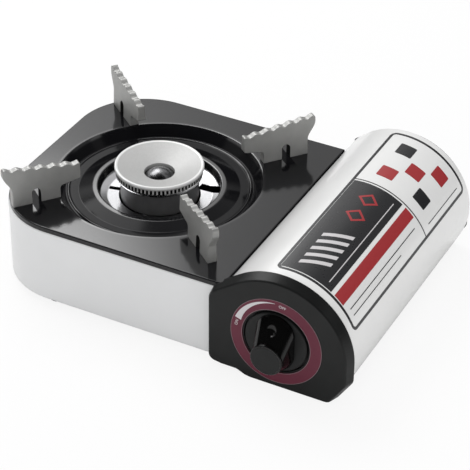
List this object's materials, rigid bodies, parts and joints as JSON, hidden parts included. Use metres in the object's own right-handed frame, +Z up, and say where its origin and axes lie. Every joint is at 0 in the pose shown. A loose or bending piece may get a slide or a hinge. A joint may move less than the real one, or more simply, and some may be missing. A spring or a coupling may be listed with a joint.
{
  "type": "cassette gas stove",
  "caption": "Compact tabletop gas stove: burner box with serrated pot supports, stepped recess and slotted burner cap, beside a round-lidded cartridge bay with a control knob.",
  "frame": {"origin": "on the ground, under the middle of the stove's bounding box", "axes": "+X from the burner box towards the cartridge bay, +Y back from the knob, +Z up"},
  "size_m": [0.3022, 0.2378, 0.0999],
  "materials": {
    "white_paint": "gloss white paint on steel",
    "lid_white": "gloss white paint on steel",
    "black_enamel": "gloss black enamel",
    "zinc_plate": "zinc-plated sheet",
    "black_rubber": "matt rubber",
    "satin_metal": "satin cast",
    "cast_aluminium": "fine blasted",
    "dark_chrome": "polished dark",
    "bright_ring": "polished",
    "heat_dark": "heat-darkened steel",
    "burner_grey": "satin dark grey",
    "polished_steel": "mirror polished",
    "brass": "turned",
    "copper": "drawn tube",
    "ceramic": "glazed ceramic",
    "lead_black": "insulated lead",
    "magnet_grey": "sintered",
    "panel_black": "fine satin black",
    "ring_burgundy": "satin burgundy",
    "knob_black": "gloss black",
    "ivory_plastic": "nylon",
    "igniter_black": "moulded"
  },
  "bodies": {
    "stove": {"body_shell": "white_paint", "base_pan": "zinc_plate", "top_plate": "black_enamel", "foot_front": "black_rubber", "foot_back": "black_rubber", "base_screws": "zinc_plate", "trivet_front_left": "satin_metal", "trivet_front_right": "satin_metal", "trivet_back_left": "satin_metal", "trivet_back_right": "satin_metal", "burner_cap": "cast_aluminium", "cap_dome": "dark_chrome", "port_ring": "bright_ring", "port_liner": "heat_dark", "burner_body": "burner_grey", "reflector": "polished_steel", "mixing_tube": "burner_grey", "jet_holder": "brass", "gas_tube": "copper", "burner_bracket": "zinc_plate", "electrode_ceramic": "ceramic", "electrode_tip": "bright_ring", "electrode_clip": "zinc_plate", "igniter_lead": "lead_black", "partition": "zinc_plate", "bulkhead": "zinc_plate", "cradle": "zinc_plate", "magnet_plate": "zinc_plate", "magnet_left": "magnet_grey", "magnet_right": "magnet_grey", "valve_body": "cast_aluminium", "regulator_cover": "zinc_plate", "inlet_seal": "black_rubber", "valve_screws": "zinc_plate", "hinge_pin_front": "bright_ring", "hinge_pin_rear": "bright_ring", "rear_cap": "panel_black", "panel": "panel_black", "dial_ring": "ring_burgundy", "panel_screws": "zinc_plate", "igniter": "igniter_black"},
    "lid": {"lid": "lid_white"},
    "knob": {"knob": "knob_black", "knob_skirt": "panel_black", "knob_cap": "panel_black", "spindle": "bright_ring", "igniter_cam": "ivory_plastic"},
    "plunger": {"igniter_plunger": "ivory_plastic"},
    "valve_pin": {"valve_pin": "bright_ring"}
  },
  "joints": [
    {"name": "lid_hinge", "type": "hinge", "parent": "stove", "child": "lid", "pos_m": [0.05467, 0.0027, 0.0675], "axis": [0, -1, 0], "range_deg": [0, 75]},
    {"name": "knob_turn", "type": "hinge", "parent": "stove", "child": "knob", "pos_m": [0.09513, -0.0973, 0.039], "axis": [0, -1, 0], "range_deg": [0, 83]},
    {"name": "plunger_slide", "type": "slide", "parent": "stove", "child": "plunger", "axis": [0, 0, -1], "range_m": [0, 0.003]},
    {"name": "pin_slide", "type": "slide", "parent": "stove", "child": "valve_pin", "axis": [0, 1, 0], "range_m": [0, 0.0012]}
  ],
  "couplings": [
    {"joint": "plunger_slide", "follows": "knob_turn", "m_per_rad": 0.0020709},
    {"joint": "pin_slide", "follows": "knob_turn", "m_per_rad": 0.0008283}
  ]
}
